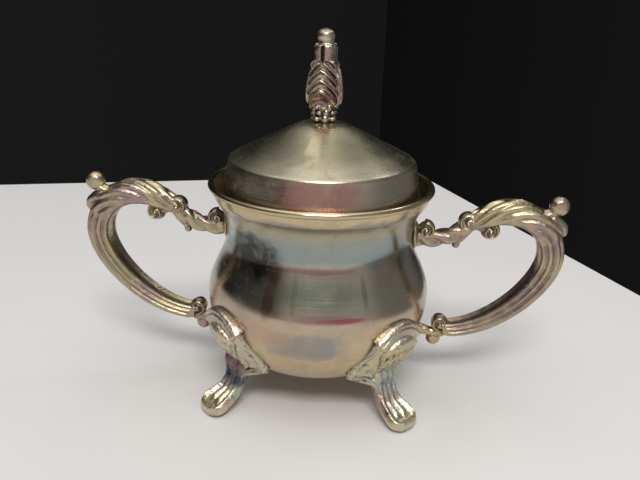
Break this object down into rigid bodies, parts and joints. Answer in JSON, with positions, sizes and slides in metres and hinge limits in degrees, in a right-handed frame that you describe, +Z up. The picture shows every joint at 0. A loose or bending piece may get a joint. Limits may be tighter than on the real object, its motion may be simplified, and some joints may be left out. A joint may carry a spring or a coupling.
{
  "type": "sugar bowl",
  "caption": "Footed metal sugar bowl with a lift-off conical lid, cast leafy finial, scroll handles and shield feet.",
  "frame": {"origin": "on the table, below the centre of the bowl", "axes": "+Z up, +X through the right handle, -Y towards the viewer"},
  "size_m": [0.1774, 0.082, 0.1319],
  "materials": {
    "silver_plate": "tarnished polished silver plate",
    "cast_silver_plate": "tarnished cast silver plate",
    "finial_metal": "dark tarnished casting",
    "fastener_steel": "plain steel"
  },
  "bodies": {
    "bowl": {"bowl_body": "silver_plate", "handle_left": "cast_silver_plate", "handle_right": "cast_silver_plate", "foot_front_left": "cast_silver_plate", "foot_front_right": "cast_silver_plate", "foot_back_left": "cast_silver_plate", "foot_back_right": "cast_silver_plate"},
    "lid": {"lid_shell": "silver_plate", "finial": "finial_metal", "finial_stud": "fastener_steel", "finial_washer": "fastener_steel", "finial_nut": "fastener_steel"}
  },
  "joints": [
    {"name": "lid_lift", "type": "slide", "parent": "bowl", "child": "lid", "axis": [0, 0, 1], "range_m": [0, 0.08]}
  ]
}
